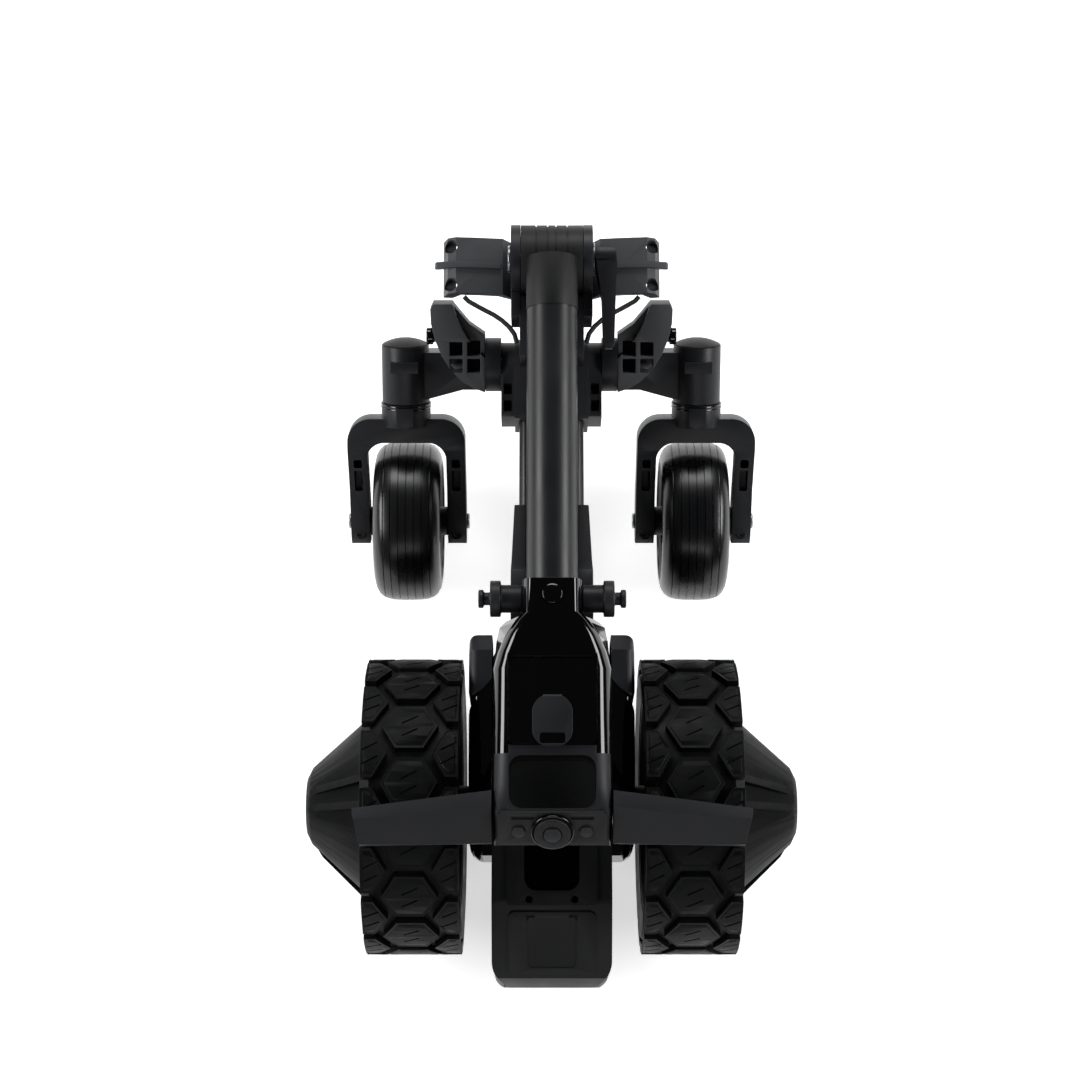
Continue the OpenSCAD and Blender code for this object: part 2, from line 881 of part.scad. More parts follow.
// ---- Handle ----
module handle_hinge()
    color("#26272a") at_drum() difference() {
        union() {
            cross_cylinder(drum_radius - free_gap, -30, 30);
            translate([0, 0, handle_rise]) {
                along_mast(-59, -8, handle_radius + 0.6);
                along_mast(-90, -50, handle_radius - tube_wall - 0.1);
            }
            block(-handle_radius - 0.6, handle_radius + 0.6, -59, 0, 2, handle_rise);
        }
        cross_cylinder(pin_radius + running_gap, -40, 40);
        // Ring grooves round the barrel
        for (x = [-15, -4, 4, 15])
            translate([x, 0, 0])
                rotate([0, 90, 0])
                    rotate_extrude($fn = 96)
                        translate([drum_radius - 1.5, -0.7])
                            square([4, 1.4]);
    }

module handle_tube()
    color("#2b2b2e") at_drum() translate([0, 0, handle_rise]) difference() {
        along_mast(neck_y - head_reach, -59, handle_radius);
        along_mast(neck_y - head_reach - 1, -58, handle_radius - tube_wall);
    }

module head_side_outline()
    polygon([[neck_y, 0], [neck_y, 2 * handle_radius + 5], [190, 2 * handle_radius + 4],
        [150, 48], [70, 45], [15, 37], [-14, 8], [-16, 3], [16, -7], [100, -14], [190, -12]]);

module head_shell()
    color("#08080a") at_head() difference() {
        union() {
            intersection() {
                side_slab(-70, 70)
                    head_side_outline();
                translate([0, 0, -20])
                    linear_extrude(100)
                        polygon([[-neck_half, neck_y], [-neck_half, 195.2],
                            [-44, 195.2], [-50, 190], [-53, 176], [-55.5, 144],
                            [-55.5, 100], [-shell_side, 40], [-shell_side, -20],
                            [shell_side, -20], [shell_side, 40], [55.5, 100],
                            [55.5, 144], [53, 176], [50, 190], [44, 195.2],
                            [neck_half, 195.2], [neck_half, neck_y]]);
            }
            // Spigot inside the handle tube
            translate([0, 0, handle_rise])
                along_mast(neck_y - 2, neck_y + 30, handle_radius - tube_wall - 0.1);
        }
        // Hand window right through the head
        translate([0, 40, -20])
            linear_extrude(80)
                round_rect(80, 48, 12);
        // Compartment under the lid, and the seat of the lid
        translate([0, 114, 4])
            linear_extrude(60)
                round_rect(74, 70, 8);
        block(-41.5, 41.5, 73.5, 154.5, 42.5, 60);
        translate([0, post_y, 2 * handle_radius])
            cylinder(r = 9.8, h = 20);
        at_console_in_head() {
            translate([0, -3, -5])
                cylinder(r = 11.6, h = 8);
            for (s = [-1, 1])
                translate([s * 31, -4, -5])
                    cylinder(r = button_radius + 0.6, h = 8);
        }
    }

module at_console_in_head()
    translate([0, 1, 23])
        rotate([45, 0, 0])
            children();

module console_panel()
    color("#1c1d20") at_console() difference() {
        translate([0, 0, 0.3])
            linear_extrude(2.5)
                round_rect(100, 38, 5);
        translate([0, -3, -1])
            cylinder(r = 11 + running_gap, h = 8);
        for (s = [-1, 1]) {
            translate([s * 31, -4, -1])
                cylinder(r = button_radius + 0.1, h = 8);
            translate([s * 27, 12, 1])
                linear_extrude(5)
                    round_rect(22, 4, 1.5);
        }
    }

module dial_ring()
    color("#0b0c0d") at_console() translate([0, -3, 0]) difference() {
        union() {
            translate([0, 0, 3.1])
                cylinder(r = dial_radius, h = 6);
            translate([0, 0, -3])
                cylinder(r = 11, h = 8);
        }
        translate([0, 0, -4])
            cylinder(r = 8 + running_gap, h = 20);
    }

module dial_button()
    color("#1c1d20") at_console()
        translate([0, -3, 4.5])
            cylinder(r = 8, h = 6);

module panel_button(side)
    color("#1c1d20") at_console()
        translate([side * 31, -4, -1])
            cylinder(r = button_radius, h = 5.5);

module panel_button_left()
    panel_button(-1);

module panel_button_right()
    panel_button(1);

module neck_button()
    color("#0b0c0d") at_head()
        translate([0, post_y, 2 * handle_radius + 1.7])
            intersection() {
                cylinder(r = 9.5, h = 7);
                translate([0, 0, -14])
                    sphere(r = 21);
            }

// A straight grip: one six-sided section, narrowed in plan and in front view
module grip(side)
    color("#26272a") at_head() mirrored(side) intersection() {
        side_slab(shell_side, grip_reach)
            polygon([[33, 33], [18, 35], [-15, 11], [-16, 4], [14, 2], [33, 15]]);
        translate([0, 0, -10])
            linear_extrude(60)
                polygon([[shell_side, 33], [grip_reach + 1, 17], [grip_reach - 6, -16],
                    [shell_side, -14]]);
        front_slab(-20, 40)
            polygon([[shell_side, 35], [grip_reach, 27], [grip_reach, 4], [shell_side, 2]]);
    }

module grip_left()
    grip(-1);

module grip_right()
    grip(1);

module accessory_post(side)
    color("#15161a") at_head() mirrored(side)
        translate([0, post_y, 22]) {
            cross_cylinder(post_diameter / 2, neck_half, 49);
            cross_cylinder(post_diameter / 2 + 4, 48, 58);
            cross_cylinder(6, 57, 65);
            cross_cylinder(8.5, 64, 69);
        }

module accessory_post_left()
    accessory_post(-1);

module accessory_post_right()
    accessory_post(1);

module compartment_lid()
    color("#0a0a0c") at_head() {
        translate([0, 113, 43])
            linear_extrude(4)
                round_rect(82, 78, 6);
        // Hinge knuckle along the far edge
        translate([0, lid_hinge_y, 45])
            cross_cylinder(2, -34, 34);
    }

module lid_latch()
    color("#050506") at_head() {
        difference() {
            translate([0, 95, 47.3])
                linear_extrude(4.5)
                    round_rect(37, 48, 16);
            block(-19, 19, latch_hinge_y, 122, 47, 53);
            translate([0, 79, 46])
                linear_extrude(8)
                    round_rect(24, 10, 3);
        }
        // Hinge knuckle at the far end
        translate([0, latch_hinge_y, 49.55])
            cross_cylinder(2.25, -9, 9);
    }

chassis_shell();
belly_cover();
battery_pack();
controller_board();
tail_panel();
tail_cover();
gear_cover_left();
gear_cover_right();
gearmotor_left();
gearmotor_right();
neck_housing();
lower_frame_tube();
front_yoke();
front_pin();
mast_pin();
cover_screws();
drive_tyre_left();
drive_tyre_right();
drive_hub_left();
drive_hub_right();
drive_shaft_left();
drive_shaft_right();
front_beam();
castor_caps();
lower_cradle_left();
lower_cradle_right();
strap_knobs();
cradle_bumpers();
castor_fork_left();
castor_fork_right();
castor_axle_left();
castor_axle_right();
castor_tyre_left();
castor_tyre_right();
castor_hub_left();
castor_hub_right();
mast_foot();
mast_tube();
mast_head();
upper_cradle();
bungee_cords();
hinge_bolt();
cam_lever();
handle_hinge();
handle_tube();
head_shell();
console_panel();
grip_left();
grip_right();
accessory_post_left();
accessory_post_right();
compartment_lid();
lid_latch();
dial_ring();
dial_button();
panel_button_left();
panel_button_right();
neck_button();
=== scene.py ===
import json
import math
import bpy
from mathutils import Matrix, Vector


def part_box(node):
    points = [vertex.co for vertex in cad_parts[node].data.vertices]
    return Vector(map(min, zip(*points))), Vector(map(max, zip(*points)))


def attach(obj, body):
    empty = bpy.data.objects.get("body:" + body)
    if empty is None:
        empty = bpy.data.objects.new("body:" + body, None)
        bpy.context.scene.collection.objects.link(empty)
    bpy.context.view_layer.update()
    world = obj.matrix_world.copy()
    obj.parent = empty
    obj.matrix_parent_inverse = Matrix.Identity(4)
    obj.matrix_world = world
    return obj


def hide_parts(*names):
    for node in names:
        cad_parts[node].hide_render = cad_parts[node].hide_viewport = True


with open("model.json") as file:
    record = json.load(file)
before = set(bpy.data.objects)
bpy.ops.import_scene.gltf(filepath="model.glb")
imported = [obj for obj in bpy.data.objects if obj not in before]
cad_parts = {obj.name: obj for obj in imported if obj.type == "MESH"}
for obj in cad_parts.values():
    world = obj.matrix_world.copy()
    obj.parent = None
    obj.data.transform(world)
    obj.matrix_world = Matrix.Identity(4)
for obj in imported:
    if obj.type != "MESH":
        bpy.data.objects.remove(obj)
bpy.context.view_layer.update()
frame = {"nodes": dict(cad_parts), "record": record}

# Places on the trolley, in metres, as the frame gives them
axle = (Vector(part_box("drive_shaft_left")[0]) + Vector(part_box("drive_shaft_left")[1])) / 2
AXLE_Y = axle.y
AXLE_Z = axle.z

# ---------------------------------------------------------------- camera
SENSOR_WIDTH = 36.0
FOCAL_LENGTH = SENSOR_WIDTH * 2425.0 / 1080.0
CAMERA_PLACE = (-0.0114, AXLE_Y - 0.3668, 2.5313)
CAMERA_TILT = math.radians(15.0)  # from looking straight down

camera_data = bpy.data.cameras.new("studio_camera")
camera_data.sensor_width = SENSOR_WIDTH
camera_data.lens = FOCAL_LENGTH
camera_data.clip_end = 50.0
camera = bpy.data.objects.new("studio_camera", camera_data)
camera.location = CAMERA_PLACE
camera.rotation_euler = (CAMERA_TILT, 0.0, 0.0)
bpy.context.collection.objects.link(camera)
bpy.context.scene.camera = camera
bpy.context.scene.view_settings.view_transform = "Standard"


# ---------------------------------------------------------------- helpers
def linear(hex_colour):
    """An sRGB hex colour as linear RGBA."""
    parts = [int(hex_colour[i:i + 2], 16) / 255.0 for i in (1, 3, 5)]
    return tuple(c / 12.92 if c <= 0.04045 else ((c + 0.055) / 1.055) ** 2.4
                 for c in parts) + (1.0,)


def add_node(tree, kind, inputs=None, **settings):
    """Adds a node: settings are its properties, inputs are values or links."""
    node = tree.nodes.new(kind)
    for name, value in settings.items():
        setattr(node, name, value)
    for key, value in (inputs or {}).items():
        if isinstance(value, bpy.types.NodeSocket):
            tree.links.new(value, node.inputs[key])
        else:
            node.inputs[key].default_value = value
    return node


def new_material(name):
    """A new material, its tree, its shader and the object coordinates."""
    material = bpy.data.materials.new(name)
    material.use_nodes = True
    tree = material.node_tree
    shader = tree.nodes["Principled BSDF"]
    place = add_node(tree, "ShaderNodeTexCoord").outputs["Object"]
    return material, tree, shader, place


def grained(name, dark, light, rough_low, rough_high, grain_mm, bump_mm,
            cloud_mm=60.0, specular=0.5):
    """A moulded or coated surface: fine grain in the bump, slow clouds in
    colour and gloss."""
    material, tree, shader, place = new_material(name)
    cloud = add_node(tree, "ShaderNodeTexNoise", {
        "Vector": place, "Scale": 1000.0 / cloud_mm, "Detail": 3.0,
        "Roughness": 0.55})
    grain = add_node(tree, "ShaderNodeTexNoise", {
        "Vector": place, "Scale": 1000.0 / grain_mm, "Detail": 2.0,
        "Roughness": 0.6})
    colour = add_node(tree, "ShaderNodeMix", {
        0: cloud.outputs["Fac"], 6: linear(dark), 7: linear(light)},
        data_type="RGBA")
    rough = add_node(tree, "ShaderNodeMapRange", {
        "Value": cloud.outputs["Fac"], "From Min": 0.3, "From Max": 0.7,
        "To Min": rough_low, "To Max": rough_high})
    bump = add_node(tree, "ShaderNodeBump", {
        "Height": grain.outputs["Fac"], "Strength": 1.0,
        "Distance": bump_mm / 1000.0})
    tree.links.new(colour.outputs[2], shader.inputs["Base Color"])
    tree.links.new(rough.outputs["Result"], shader.inputs["Roughness"])
    tree.links.new(bump.outputs["Normal"], shader.inputs["Normal"])
    shader.inputs["IOR"].default_value = 1.5
    shader.inputs["Specular IOR Level"].default_value = specular
    return material


def metal(name, colour_hex, rough_low, rough_high, scratch_mm):
    """A bare metal whose gloss varies with fine scratches."""
    material, tree, shader, place = new_material(name)
    stretch = add_node(tree, "ShaderNodeMapping", {
        "Vector": place, "Scale": (4.0, 1.0, 1.0)})
    scratch = add_node(tree, "ShaderNodeTexNoise", {
        "Vector": stretch.outputs["Vector"], "Scale": 1000.0 / scratch_mm,
        "Detail": 4.0, "Roughness": 0.7})
    rough = add_node(tree, "ShaderNodeMapRange", {
        "Value": scratch.outputs["Fac"], "To Min": rough_low, "To Max": rough_high})
    shader.inputs["Base Color"].default_value = linear(colour_hex)
    shader.inputs["Metallic"].default_value = 1.0
    tree.links.new(rough.outputs["Result"], shader.inputs["Roughness"])
    return material


# ---------------------------------------------------------------- materials
# High-gloss injection-moulded ABS: polished tool, so near-black with sharp reflections
gloss_abs = grained("gloss_black_abs", "#010102", "#030304", 0.05, 0.09, 14.0, 0.008)
# Glass-filled nylon from a textured tool: satin, with a fine even grain
satin_nylon = grained("satin_glass_filled_nylon", "#111215", "#17181c", 0.40, 0.52,
                      1.1, 0.07, specular=0.32)
# Hub mouldings: the same nylon with a drier skin, its colour darkened as painted shade for
# the hubs' side-facing faces
shaded_nylon = grained("shaded_glass_filled_nylon", "#020304", "#050607", 0.42, 0.54,
                     1.1, 0.07, specular=0.05)
# The same nylon in the paler, drier finish of the cradle arms
pale_nylon = grained("pale_glass_filled_nylon", "#3a3b3e", "#454649", 0.5, 0.62,
                     1.1, 0.07, specular=0.3)
# Spark-eroded tool texture of the console, tail, castor caps, hinge drum and dial
# ring: matte, faintly speckled
matte_abs = grained("matte_textured_abs", "#08090a", "#0c0d0e", 0.48, 0.60,
                    0.8, 0.06, specular=0.3)
# Powder coat on aluminium tube: satin charcoal with a slight orange peel
powder_coat = grained("charcoal_powder_coat", "#0e0f12", "#131417", 0.34, 0.42,
                      1.6, 0.06, specular=0.4)
# Moulded tread rubber: dull black, faintly grey where it has been handled
tread_rubber = grained("moulded_tread_rubber", "#030405", "#070809", 0.42, 0.60,
                       1.6, 0.09, cloud_mm=22.0, specular=0.12)
# Cast polyurethane of the castor tyres: smoother and shinier than the tread
castor_rubber = grained("cast_polyurethane", "#06070a", "#0a0b0d", 0.24, 0.34,
                        3.0, 0.02)
# Soft-touch rubber moulded over the grips
grip_rubber = grained("soft_touch_rubber", "#101114", "#16171a", 0.52, 0.64,
                      0.9, 0.07, specular=0.3)
# Zinc-plated steel pins and bolts
plated_steel = metal("zinc_plated_steel", "#9a9da1", 0.25, 0.4, 4.0)
# Die-cast aluminium of the gearmotors
cast_aluminium = metal("die_cast_aluminium", "#a8aaad", 0.4, 0.6, 2.0)
# Moulded battery case
battery_case = grained("moulded_battery_case", "#23272c", "#2b2f35", 0.45, 0.6,
                       1.2, 0.05)
# Green solder mask over fibreglass
circuit_board = grained("solder_masked_laminate", "#16392a", "#1d4834", 0.25, 0.4,
                        2.0, 0.02)


def braided():
    """Polyester braid over a rubber core: short crossing strands, their lighter colour a
    painted sheen for the light they catch.
    """
    material, tree, shader, place = new_material("braided_polyester")
    strands = add_node(tree, "ShaderNodeTexWave", {
        "Vector": place, "Scale": 260.0, "Distortion": 3.0, "Detail": 1.0})
    # Painted sheen: the colour is lighter along the strands
    colour = add_node(tree, "ShaderNodeMix", {
        0: strands.outputs["Fac"], 6: linear("#060607"), 7: linear("#17171a")},
        data_type="RGBA")
    bump = add_node(tree, "ShaderNodeBump", {
        "Height": strands.outputs["Fac"], "Distance": 0.0003})
    tree.links.new(colour.outputs[2], shader.inputs["Base Color"])
    tree.links.new(bump.outputs["Normal"], shader.inputs["Normal"])
    shader.inputs["Roughness"].default_value = 0.7
    return material


braid = braided()

FINISH = {
    "gloss_black_shell": gloss_abs,
    "satin_black_nylon": satin_nylon,
    "charcoal_powder_coat": powder_coat,
    "tread_rubber": tread_rubber,
    "soft_grip_rubber": grip_rubber,
    "plated_steel": plated_steel,
    "cast_aluminium": cast_aluminium,
    "battery_case": battery_case,
    "circuit_board": circuit_board,
    "bungee_fabric": braid,
}
SLOT_OF = {part["node"]: part["material_slot"] for part in frame["record"]["subparts"]}
BODY_OF = {node: body for body, nodes in frame["record"]["behaviour"]["bodies"].items()
           for node in nodes}
for name, node in frame["nodes"].items():
    node.data.materials.clear()
    node.data.materials.append(FINISH[SLOT_OF[name]])


# ---------------------------------------------------------------- frames
JOINT = {joint["name"]: joint for joint in frame["record"]["behaviour"]["joints"]}
MM = 0.001
LID_HINGE_ALONG, LID_HINGE_UP = 152, 45  # the lid hinge in the head's frame, in mm
CONSOLE_ALONG, CONSOLE_UP = 1, 23  # the console's origin in the head's frame, in mm
CONSOLE_TILT = math.radians(45)
SWIVEL_UP = 150  # from the front frame's origin along the stem, in mm


def turned_frame(origin, tilt):
    """A frame turned about X, with its origin in metres."""
    return Matrix.Translation(origin) @ Matrix.Rotation(tilt, 4, "X")


head_up = Vector(JOINT["cam_lever_turn"]["axis"])
head_tilt = math.atan2(-head_up.y, head_up.z)
head_along = Vector((0.0, math.cos(head_tilt), math.sin(head_tilt)))
HEAD = turned_frame(Vector(JOINT["lid_hinge"]["pos_m"])
                    - LID_HINGE_ALONG * MM * head_along
                    - LID_HINGE_UP * MM * head_up, head_tilt)
CONSOLE = HEAD @ turned_frame(Vector((0, CONSOLE_ALONG * MM, CONSOLE_UP * MM)),
                              CONSOLE_TILT)
stem_up = Vector(JOINT["castor_swivel_right"]["axis"])
CASTOR_SPACING = JOINT["castor_swivel_right"]["pos_m"][0]
front_origin = (Vector(JOINT["castor_swivel_right"]["pos_m"]) - SWIVEL_UP * MM * stem_up
                - Vector((CASTOR_SPACING, 0, 0)))
FRONT = turned_frame(front_origin, -math.atan2(stem_up.y, stem_up.z))


# ---------------------------------------------------------------- shaping
WELD = 0.00002  # points closer than this are one, in metres


def only(piece):
    """Makes the piece the one selected and active object."""
    if bpy.context.object and bpy.context.object.mode != "OBJECT":
        bpy.ops.object.mode_set(mode="OBJECT")
    bpy.ops.object.select_all(action="DESELECT")
    piece.select_set(True)
    bpy.context.view_layer.objects.active = piece


def modify(piece, kind, **settings):
    """Adds a modifier and applies it."""
    only(piece)
    modifier = piece.modifiers.new(kind.lower(), kind)
    for name, value in settings.items():
        setattr(modifier, name, value)
    bpy.ops.object.modifier_apply(modifier=modifier.name)


def pick_faces(piece, wanted):
    """Selects the faces that the test picks, and leaves the piece in edit mode."""
    only(piece)
    bpy.ops.object.mode_set(mode="EDIT")
    bpy.ops.mesh.select_mode(type="FACE")
    bpy.ops.mesh.select_all(action="DESELECT")
    bpy.ops.object.mode_set(mode="OBJECT")
    for face in piece.data.polygons:
        face.select = wanted(face)
    bpy.ops.object.mode_set(mode="EDIT")


def recalculated(piece):
    """Merges doubles and turns every face outwards."""
    only(piece)
    bpy.ops.object.mode_set(mode="EDIT")
    bpy.ops.mesh.select_all(action="SELECT")
    bpy.ops.mesh.remove_doubles(threshold=WELD)
    bpy.ops.mesh.normals_make_consistent(inside=False)
    bpy.ops.object.mode_set(mode="OBJECT")


def placed(piece, place):
    """Moves a piece from its own frame to its place, with the place in its mesh."""
    piece.matrix_world = place @ piece.matrix_world
    only(piece)
    bpy.ops.object.transform_apply(location=True, rotation=True, scale=True)


def riding(piece, body, material, smooth_angle=35.0):
    """Smooths a piece and gives it its finish and body."""
    only(piece)
    bpy.ops.object.transform_apply(location=True, rotation=True, scale=True)
    bpy.ops.object.shade_smooth_by_angle(angle=math.radians(smooth_angle))
    if material:
        piece.data.materials.clear()
        piece.data.materials.append(material)
    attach(piece, body)
    return piece


def finish_piece(piece, node, material, smooth_angle=35.0):
    """Finishes a piece that stands for a node."""
    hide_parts(node)
    return riding(piece, BODY_OF[node], material, smooth_angle)


def base_copy(node):
    """A copy of a node with its triangles merged back into whole faces."""
    source = frame["nodes"][node]
    piece = source.copy()
    piece.data = source.data.copy()
    piece.name = node + "_finished"
    bpy.context.collection.objects.link(piece)
    only(piece)
    bpy.ops.object.mode_set(mode="EDIT")
    bpy.ops.mesh.select_all(action="SELECT")
    bpy.ops.mesh.remove_doubles(threshold=WELD)
    bpy.ops.mesh.dissolve_limited(angle_limit=math.radians(1.0))
    bpy.ops.mesh.select_all(action="DESELECT")
    bpy.ops.object.mode_set(mode="OBJECT")
    return piece


def rounded(piece, edge_mm, segments=3, angle=32.0):
    """Rounds every edge that is sharper than the angle."""
    modify(piece, "BEVEL", width=edge_mm * MM, segments=segments, limit_method="ANGLE",
           angle_limit=math.radians(angle), use_clamp_overlap=True, harden_normals=False)


def softened(node, edge_mm, material=None):
    """A copy of a node with its moulded or cast edges rounded off."""
    piece = base_copy(node)
    rounded(piece, edge_mm)
    return finish_piece(piece, node, material or FINISH[SLOT_OF[node]])


def box_at(name, low, high, edge_mm=0.0, place=None):
    """A box between two corners in mm; edge_mm rounds all of its edges."""
    low, high = Vector(low), Vector(high)
    bpy.ops.object.select_all(action="DESELECT")
    bpy.ops.mesh.primitive_cube_add(size=1.0, location=(low + high) / 2 * MM)
    piece = bpy.context.object
    piece.name = name
    piece.scale = (high - low) * MM
    only(piece)
    bpy.ops.object.transform_apply(location=True, rotation=True, scale=True)
    if edge_mm:
        modify(piece, "BEVEL", width=edge_mm * MM, segments=4, limit_method="NONE")
    if place:
        placed(piece, place)
    return piece


def rod_at(name, radius, low, high, vertices=48, place=None, centre=(0, 0)):
    """An upright rod in mm, from low to high."""
    bpy.ops.object.select_all(action="DESELECT")
    bpy.ops.mesh.primitive_cylinder_add(
        vertices=vertices, radius=radius * MM, depth=(high - low) * MM,
        location=Vector((centre[0], centre[1], (low + high) / 2)) * MM)
    piece = bpy.context.object
    piece.name = name
    if place:
        placed(piece, place)
    return piece


def carve(piece, cutter, operation="DIFFERENCE"):
    """Cuts one piece with another, which is then used up."""
    modify(piece, "BOOLEAN", operation=operation, object=cutter, solver="EXACT")
    bpy.data.objects.remove(cutter)


def round_edges(piece, wanted, edge_mm, segments=5):
    """Rounds the sharp edges whose two ends pass a test."""
    only(piece)
    bpy.ops.object.mode_set(mode="EDIT")
    bpy.ops.mesh.select_mode(type="EDGE")
    bpy.ops.mesh.select_all(action="DESELECT")
    bpy.ops.mesh.edges_select_sharp(sharpness=math.radians(30))
    bpy.ops.object.mode_set(mode="OBJECT")
    points = piece.data.vertices
    chosen = [edge.index for edge in piece.data.edges if edge.select
              and wanted(points[edge.vertices[0]].co, points[edge.vertices[1]].co)]
    for group in (points, piece.data.edges, piece.data.polygons):
        for item in group:
            item.select = False
    for index in chosen:
        piece.data.edges[index].select = True
    bpy.ops.object.mode_set(mode="EDIT")
    bpy.ops.mesh.bevel(offset=edge_mm * MM, segments=segments, affect="EDGES")
    bpy.ops.object.mode_set(mode="OBJECT")


def upright_box(name, low, high, corner_mm):
    """A block whose four upright edges are rounded."""
    piece = box_at(name, low, high)
    round_edges(piece, lambda a, b: abs(a.z - b.z) > 1 * MM, corner_mm)
    return piece


def paint_faces(piece, material, wanted):
    """Gives the faces that the test picks a second finish."""
    piece.data.materials.append(material)
    pick_faces(piece, wanted)
    piece.active_material_index = len(piece.data.materials) - 1
    bpy.ops.object.material_slot_assign()
    bpy.ops.object.mode_set(mode="OBJECT")


def turned_piece(name, profile, centre, steps=96):
    """A ring turned about the line through centre along X: (along, radius) in mm."""
    bpy.ops.object.select_all(action="DESELECT")
    bpy.ops.mesh.primitive_plane_add(size=MM, location=(0, 0, 0))
    piece = bpy.context.object
    piece.name = name
    bpy.ops.object.mode_set(mode="EDIT")
    bpy.ops.mesh.select_mode(type="VERT")
    bpy.ops.mesh.select_all(action="SELECT")
    bpy.ops.mesh.merge(type="CENTER")
    points = [Vector((along, 0, radius)) * MM + Vector(centre)
              for along, radius in profile]
    bpy.ops.transform.translate(value=points[0])
    for start, end in zip(points, points[1:] + points[:1]):
        bpy.ops.mesh.extrude_vertices_move(
            TRANSFORM_OT_translate={"value": end - start})
    bpy.ops.mesh.select_all(action="SELECT")
    bpy.ops.mesh.remove_doubles(threshold=0.00001)
    bpy.ops.mesh.select_all(action="SELECT")
    bpy.ops.mesh.spin(steps=steps, angle=2 * math.pi, center=centre, axis=(1, 0, 0))
    bpy.ops.object.mode_set(mode="OBJECT")
    recalculated(piece)
    return piece


# ---------------------------------------------------------------- drive wheels
TREAD_ROWS = 16
BLOCK_TOP = 144.2 * MM
LINE_INSET, LINE_DEPTH = 2.4, 0.7
MIDDLE_INSET, MIDDLE_RISE = 0.9, 0.55
SIPE_LOW, SIPE_HIGH = (-8.5, -0.9, -1.6), (8.5, 0.9, 3.0)  # corners of one cutter
SIPE_SHIFT = 7.0
SIPE_TURN = math.radians(28)
OUTER_ROW_IN = 10.0  # the outer rows of sipes lie this far inside the tyre's edge
tyre_box = [Vector(corner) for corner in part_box("drive_tyre_right")]
TYRE_MIDDLE = (tyre_box[0].x + tyre_box[1].x) / 2 / MM
TYRE_HALF = (tyre_box[1].x - tyre_box[0].x) / 2 / MM


def sipe_ring(name, along_mm, first_turn, radius_mm=145.0):
    """Pairs of short slanted cutters, one pair for each block of a tread row."""
    cutters = []
    for shift in (-SIPE_SHIFT, SIPE_SHIFT):
        cutter = box_at(name, SIPE_LOW, SIPE_HIGH)
        cutter.matrix_world = (
            Matrix.Translation(Vector((along_mm * MM, AXLE_Y, AXLE_Z)))
            @ Matrix.Rotation(first_turn, 4, "X")
            @ Matrix.Translation(Vector((0, shift, radius_mm)) * MM)
            @ Matrix.Rotation(SIPE_TURN, 4, "Z"))
        cutters.append(cutter)
    only(cutters[0])
    cutters[1].select_set(True)
    bpy.ops.object.join()
    ring = bpy.context.object
    bpy.ops.object.transform_apply(location=True, rotation=True, scale=True)
    bpy.ops.object.mode_set(mode="EDIT")
    bpy.ops.mesh.select_all(action="SELECT")
    for _ in range(TREAD_ROWS - 1):
        bpy.ops.mesh.duplicate()
        bpy.ops.transform.rotate(value=2 * math.pi / TREAD_ROWS, orient_axis="X",
                                 center_override=(0, AXLE_Y, AXLE_Z))
    bpy.ops.object.mode_set(mode="OBJECT")
    return ring


def block_top(face):
    """The outward faces of the tread blocks."""
    out = Vector((0, face.center.y - AXLE_Y, face.center.z - AXLE_Z))
    return out.length > BLOCK_TOP and face.normal.dot(out.normalized()) > 0.97


for side_name, side in (("left", -1), ("right", 1)):
    node = "drive_tyre_" + side_name
    tyre = base_copy(node)
    rounded(tyre, 1.3, segments=2)
    # A sunk line round the top of each block, then its raised middle
    pick_faces(tyre, block_top)
    bpy.ops.mesh.inset(thickness=LINE_INSET * MM, depth=-LINE_DEPTH * MM)
    bpy.ops.mesh.inset(thickness=MIDDLE_INSET * MM, depth=MIDDLE_RISE * MM)
    bpy.ops.object.mode_set(mode="OBJECT")
    half_pitch = math.pi / TREAD_ROWS
    middle = side * TYRE_MIDDLE
    for along, turn in ((middle, 0.0),
                        (middle - TYRE_HALF + OUTER_ROW_IN, half_pitch),
                        (middle + TYRE_HALF - OUTER_ROW_IN, half_pitch)):
        carve(tyre, sipe_ring("sipe_cutter", along, turn))
    finish_piece(tyre, node, tread_rubber, smooth_angle=9.0)

# ---------------------------------------------------------------- castors
HALF_PROFILE = [  # along, radius, in mm: the crown, then the lip at the rim
    (0, 82.9), (8, 82.8), (15, 82.3), (21, 81.2), (26, 79.2), (30, 75.8), (33, 70.5),
    (34.5, 64.0), (34.2, 62.2), (32.6, 61.8), (31.4, 60.0), (29.8, 58.5)]
CROWN_POINTS = 8
GROOVES = (0.0, 8.0, 16.0, 23.5)
GROOVE_HALF, GROOVE_FLOOR_HALF, GROOVE_DEPTH = 0.55, 0.2, 0.9


def crown_radius(along):
    """The tyre's radius at a distance from its middle plane, in mm."""
    for (a0, r0), (a1, r1) in zip(HALF_PROFILE, HALF_PROFILE[1:]):
        if a0 <= along <= a1:
            return r0 + (r1 - r0) * (along - a0) / (a1 - a0)
    return HALF_PROFILE[-1][1]


def castor_profile():
    """Half the crown with its fine grooves, mirrored to the other half."""
    stations = {along for along, _ in HALF_PROFILE[:CROWN_POINTS]}
    right = []
    for along in sorted(stations | set(GROOVES)):
        if along in GROOVES:
            floor_radius = crown_radius(along) - GROOVE_DEPTH
            right += [(along - GROOVE_HALF, crown_radius(along - GROOVE_HALF)),
                      (along - GROOVE_FLOOR_HALF, floor_radius),
                      (along + GROOVE_FLOOR_HALF, floor_radius),
                      (along + GROOVE_HALF, crown_radius(along + GROOVE_HALF))]
        else:
            right.append((along, crown_radius(along)))
    right = [point for point in right if point[0] > 0.1]
    right += HALF_PROFILE[CROWN_POINTS:]
    left = [(-a, r) for a, r in reversed(right)]
    return left + right


